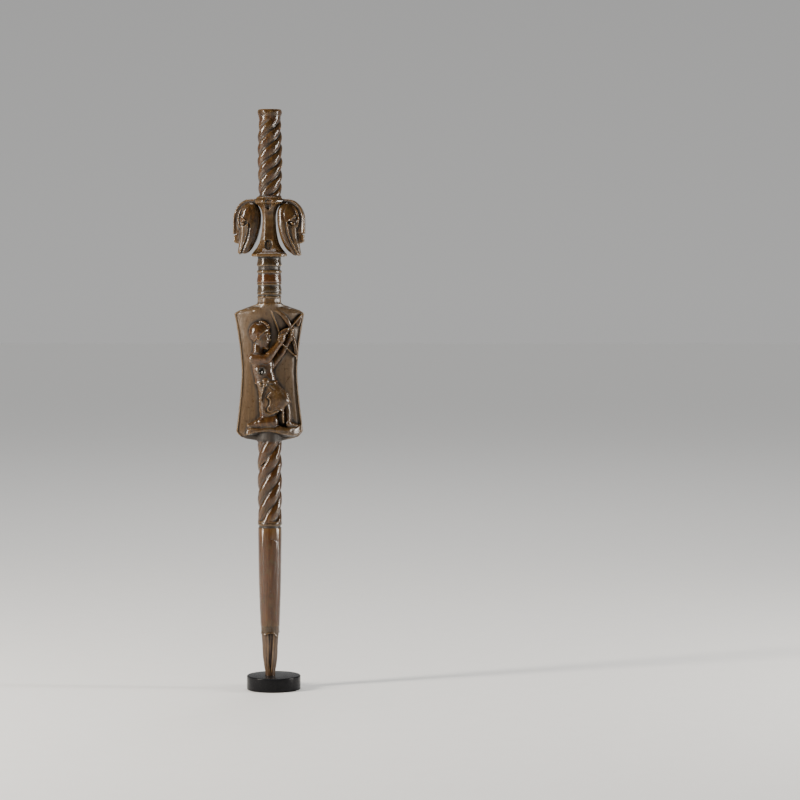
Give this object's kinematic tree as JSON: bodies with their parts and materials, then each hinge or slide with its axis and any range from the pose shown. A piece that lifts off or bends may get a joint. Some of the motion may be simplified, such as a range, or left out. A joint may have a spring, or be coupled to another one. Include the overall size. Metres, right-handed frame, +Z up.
{
  "type": "scepter",
  "caption": "Carved wooden ceremonial scepter with a kneeling archer panel, birds' heads and twisted shaft, on a round black metal foot",
  "frame": {"origin": "on the shaft's own axis, at the level of the foot's underside", "axes": "+X to the right of the carved front, +Y to the back, +Z up along the shaft"},
  "size_m": [0.0728, 0.054, 0.5793],
  "materials": {
    "carved_wood": "satin",
    "black_metal": "gloss"
  },
  "bodies": {
    "root": {"scepter": "carved_wood", "stand": "black_metal"}
  },
  "joints": []
}
